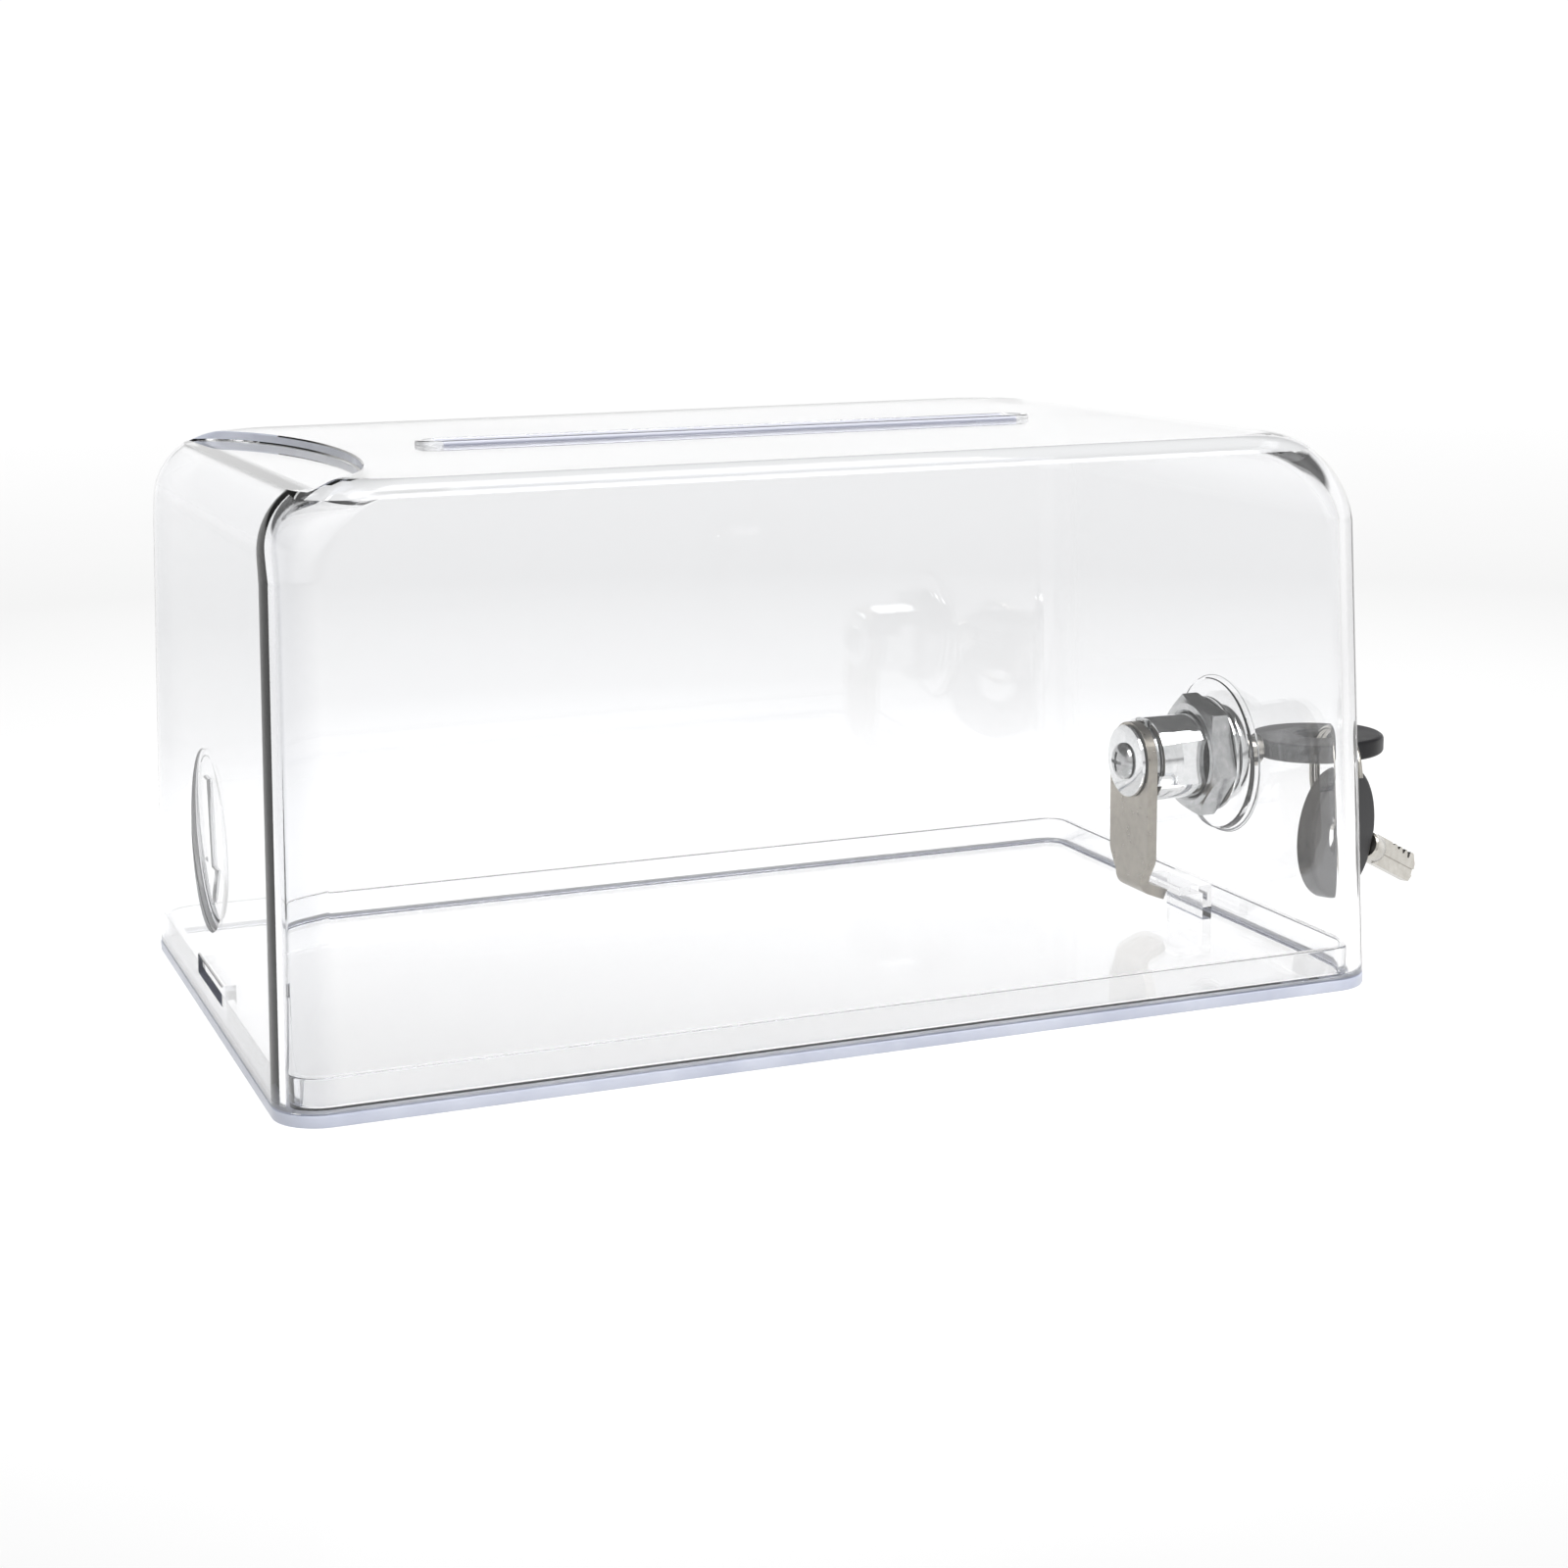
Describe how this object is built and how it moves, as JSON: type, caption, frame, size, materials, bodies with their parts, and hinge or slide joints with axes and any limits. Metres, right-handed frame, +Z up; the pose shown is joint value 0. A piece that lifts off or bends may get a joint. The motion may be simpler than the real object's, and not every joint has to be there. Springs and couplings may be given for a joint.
{
  "type": "donation box",
  "caption": "Clear moulded donation box: slotted cover hooked to a base tray and held shut by a cam lock in one end, with a key in the lock and a spare on a split ring.",
  "frame": {"origin": "centre of the base tray's underside, on the surface the box stands on", "axes": "+X towards the end wall with the lock, -Y the long front, +Z up through the slotted top"},
  "size_m": [0.2855, 0.142, 0.115],
  "materials": {
    "clear_plastic": "clear moulded polystyrene, polished, with a faint blue-violet tint in the edges",
    "lock_chrome": "bright chrome plate on die-cast zinc",
    "nut_steel": "plated steel, slightly dull",
    "cam_nickel": "warm grey nickel-plated steel, satin",
    "wafer_brass": "stamped brass",
    "spring_steel": "spring wire",
    "key_nickel": "nickel-plated, satin",
    "key_plastic": "black moulded plastic, semi-gloss"
  },
  "bodies": {
    "base": {"base_tray": "clear_plastic"},
    "cover": {"cover": "clear_plastic", "lock_housing": "lock_chrome", "mounting_nut": "nut_steel", "nut_washer": "nut_steel"},
    "plug": {"plug": "lock_chrome", "stop_washer": "nut_steel", "cam": "cam_nickel", "cam_washer": "lock_chrome", "cam_screw": "nut_steel", "wafer_1": "wafer_brass", "wafer_2": "wafer_brass", "wafer_3": "wafer_brass", "wafer_4": "wafer_brass", "wafer_5": "wafer_brass", "wafer_spring_1": "spring_steel", "wafer_spring_2": "spring_steel", "wafer_spring_3": "spring_steel", "wafer_spring_4": "spring_steel", "wafer_spring_5": "spring_steel"},
    "key": {"key_blade": "key_nickel", "key_head": "key_plastic"},
    "key_ring": {"key_ring": "key_nickel"},
    "spare_key": {"spare_key_blade": "key_nickel", "spare_key_head": "key_plastic"}
  },
  "joints": [
    {"name": "cover_hinge", "type": "hinge", "parent": "base", "child": "cover", "pos_m": [-0.1139, 0, 0.0028], "axis": [0, -1, 0], "range_deg": [0, 75]},
    {"name": "lock_turn", "type": "hinge", "parent": "cover", "child": "plug", "pos_m": [0.1117, -0.0085, 0.0385], "axis": [1, 0, 0], "range_deg": [0, 90]},
    {"name": "key_slide", "type": "slide", "parent": "plug", "child": "key", "axis": [1, 0, 0], "range_m": [0, 0.028]},
    {"name": "ring_turn", "type": "hinge", "parent": "key", "child": "key_ring", "pos_m": [0.13688, -0.01769, 0.0323], "axis": [0.9848, -0.1736, 0], "range_deg": [-2, 20]},
    {"name": "spare_key_swing", "type": "hinge", "parent": "key_ring", "child": "spare_key", "pos_m": [0.13688, -0.01769, 0.0211], "axis": [-0.1736, -0.9848, 0], "range_deg": [-3, 30]}
  ]
}
